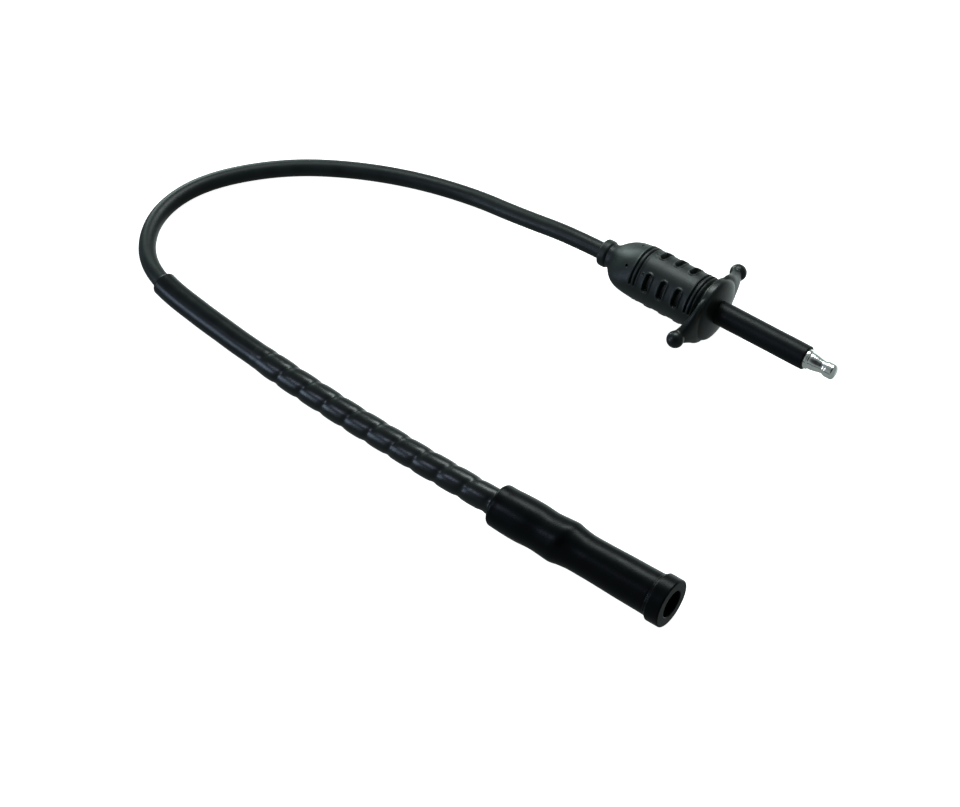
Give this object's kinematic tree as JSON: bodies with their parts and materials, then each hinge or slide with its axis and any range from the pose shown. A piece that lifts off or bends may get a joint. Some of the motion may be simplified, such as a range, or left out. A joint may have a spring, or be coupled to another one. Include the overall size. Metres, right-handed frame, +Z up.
{
  "type": "ignition test lead",
  "caption": "Flexible high-tension lead for an oscilloscope: ribbed coil plug with ball-eared guard, long insulated nose and metal snap tip at one end, rubber spark-plug boot at the other.",
  "frame": {"origin": "on the surface the lead lies on, at the bottom centre of the box around the plug, the covered lead and the boot", "axes": "+Z up, +X along the plug's axis towards its metal tip (the boot lies parallel to it)"},
  "size_m": [0.2822, 0.1602, 0.026],
  "materials": {
    "lead_jacket": "matte silicone rubber",
    "glass_braid": "woven glass yarn",
    "lead_insulation": "matte rubber",
    "winding": "fine resistance wire",
    "lead_core": "conductive rubber on an aramid strand",
    "support_tube": "matte",
    "shrink_tube": "semi-gloss",
    "wrap_skin": "semi-gloss",
    "grip_plastic": "satin, fine grain",
    "carrier_plastic": "matte",
    "guard_plastic": "semi-gloss",
    "nose_plastic": "matte, fine grain",
    "brass": "turned",
    "nickel": "bright nickel",
    "boot_rubber": "satin rubber",
    "spring_steel": "plated sheet steel"
  },
  "bodies": {
    "root": {"lead_jacket": "lead_jacket", "lead_braid": "glass_braid", "lead_insulation": "lead_insulation", "lead_winding": "winding", "lead_core": "lead_core", "support_tube": "support_tube", "shrink_sleeve": "shrink_tube", "spiral_wrap": "wrap_skin", "grip_body": "grip_plastic", "carrier_upper": "carrier_plastic", "carrier_lower": "carrier_plastic", "guard_flange": "guard_plastic", "nose_sleeve": "nose_plastic", "contact_rod": "brass", "terminal_tip": "nickel", "plug_crimp": "brass", "boot": "boot_rubber", "snap_terminal": "spring_steel", "snap_spring": "spring_steel"}
  },
  "joints": []
}
